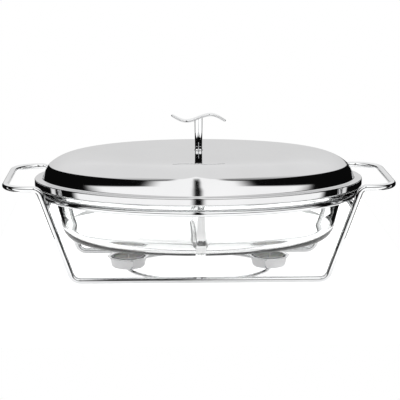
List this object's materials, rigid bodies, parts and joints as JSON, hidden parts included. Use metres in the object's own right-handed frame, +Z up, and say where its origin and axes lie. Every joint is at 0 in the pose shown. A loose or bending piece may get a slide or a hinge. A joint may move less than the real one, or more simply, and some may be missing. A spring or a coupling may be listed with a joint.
{
  "type": "oval buffet food warmer",
  "caption": "Lidded oval glass serving dish in a bent wire stand with tealight cups that keep food warm on a buffet.",
  "frame": {"origin": "on the table under the middle of the stand", "axes": "+X along the oval to the right-hand handle, +Y to the back, +Z up"},
  "size_m": [0.4676, 0.275, 0.1921],
  "materials": {
    "stand_chrome": "bright chrome-plated steel wire",
    "cup_steel": "pressed stainless sheet, satin bright",
    "clear_glass": "clear pressed heat-resistant glass",
    "lid_steel": "mirror-polished stainless sheet",
    "handle_chrome": "polished cast metal",
    "fastener_steel": "plain bright steel",
    "tin_aluminium": "drawn bright foil",
    "wax": "white paraffin wax",
    "wick_cotton": "braided cotton"
  },
  "bodies": {
    "stand": {"front_frame_wire": "stand_chrome", "back_frame_wire": "stand_chrome", "dish_ring": "stand_chrome", "left_cross_wire": "stand_chrome", "right_cross_wire": "stand_chrome", "base_loop": "stand_chrome", "left_candle_cup": "cup_steel", "right_candle_cup": "cup_steel"},
    "dish": {"glass_dish": "clear_glass"},
    "lid": {"lid_shell": "lid_steel", "handle_bar": "handle_chrome", "handle_post": "handle_chrome", "handle_screw": "fastener_steel", "handle_washer": "fastener_steel"},
    "left_tealight": {"left_tealight_tin": "tin_aluminium", "left_tealight_wax": "wax", "left_wick_holder": "tin_aluminium", "left_wick": "wick_cotton"},
    "right_tealight": {"right_tealight_tin": "tin_aluminium", "right_tealight_wax": "wax", "right_wick_holder": "tin_aluminium", "right_wick": "wick_cotton"}
  },
  "joints": [
    {"name": "dish_lift", "type": "slide", "parent": "stand", "child": "dish", "axis": [0, 0, 1], "range_m": [0, 0.09]},
    {"name": "lid_lift", "type": "slide", "parent": "dish", "child": "lid", "axis": [0, 0, 1], "range_m": [0, 0.08]},
    {"name": "left_tealight_lift", "type": "slide", "parent": "stand", "child": "left_tealight", "axis": [0, 0, 1], "range_m": [0, 0.014]},
    {"name": "right_tealight_lift", "type": "slide", "parent": "stand", "child": "right_tealight", "axis": [0, 0, 1], "range_m": [0, 0.014]}
  ]
}
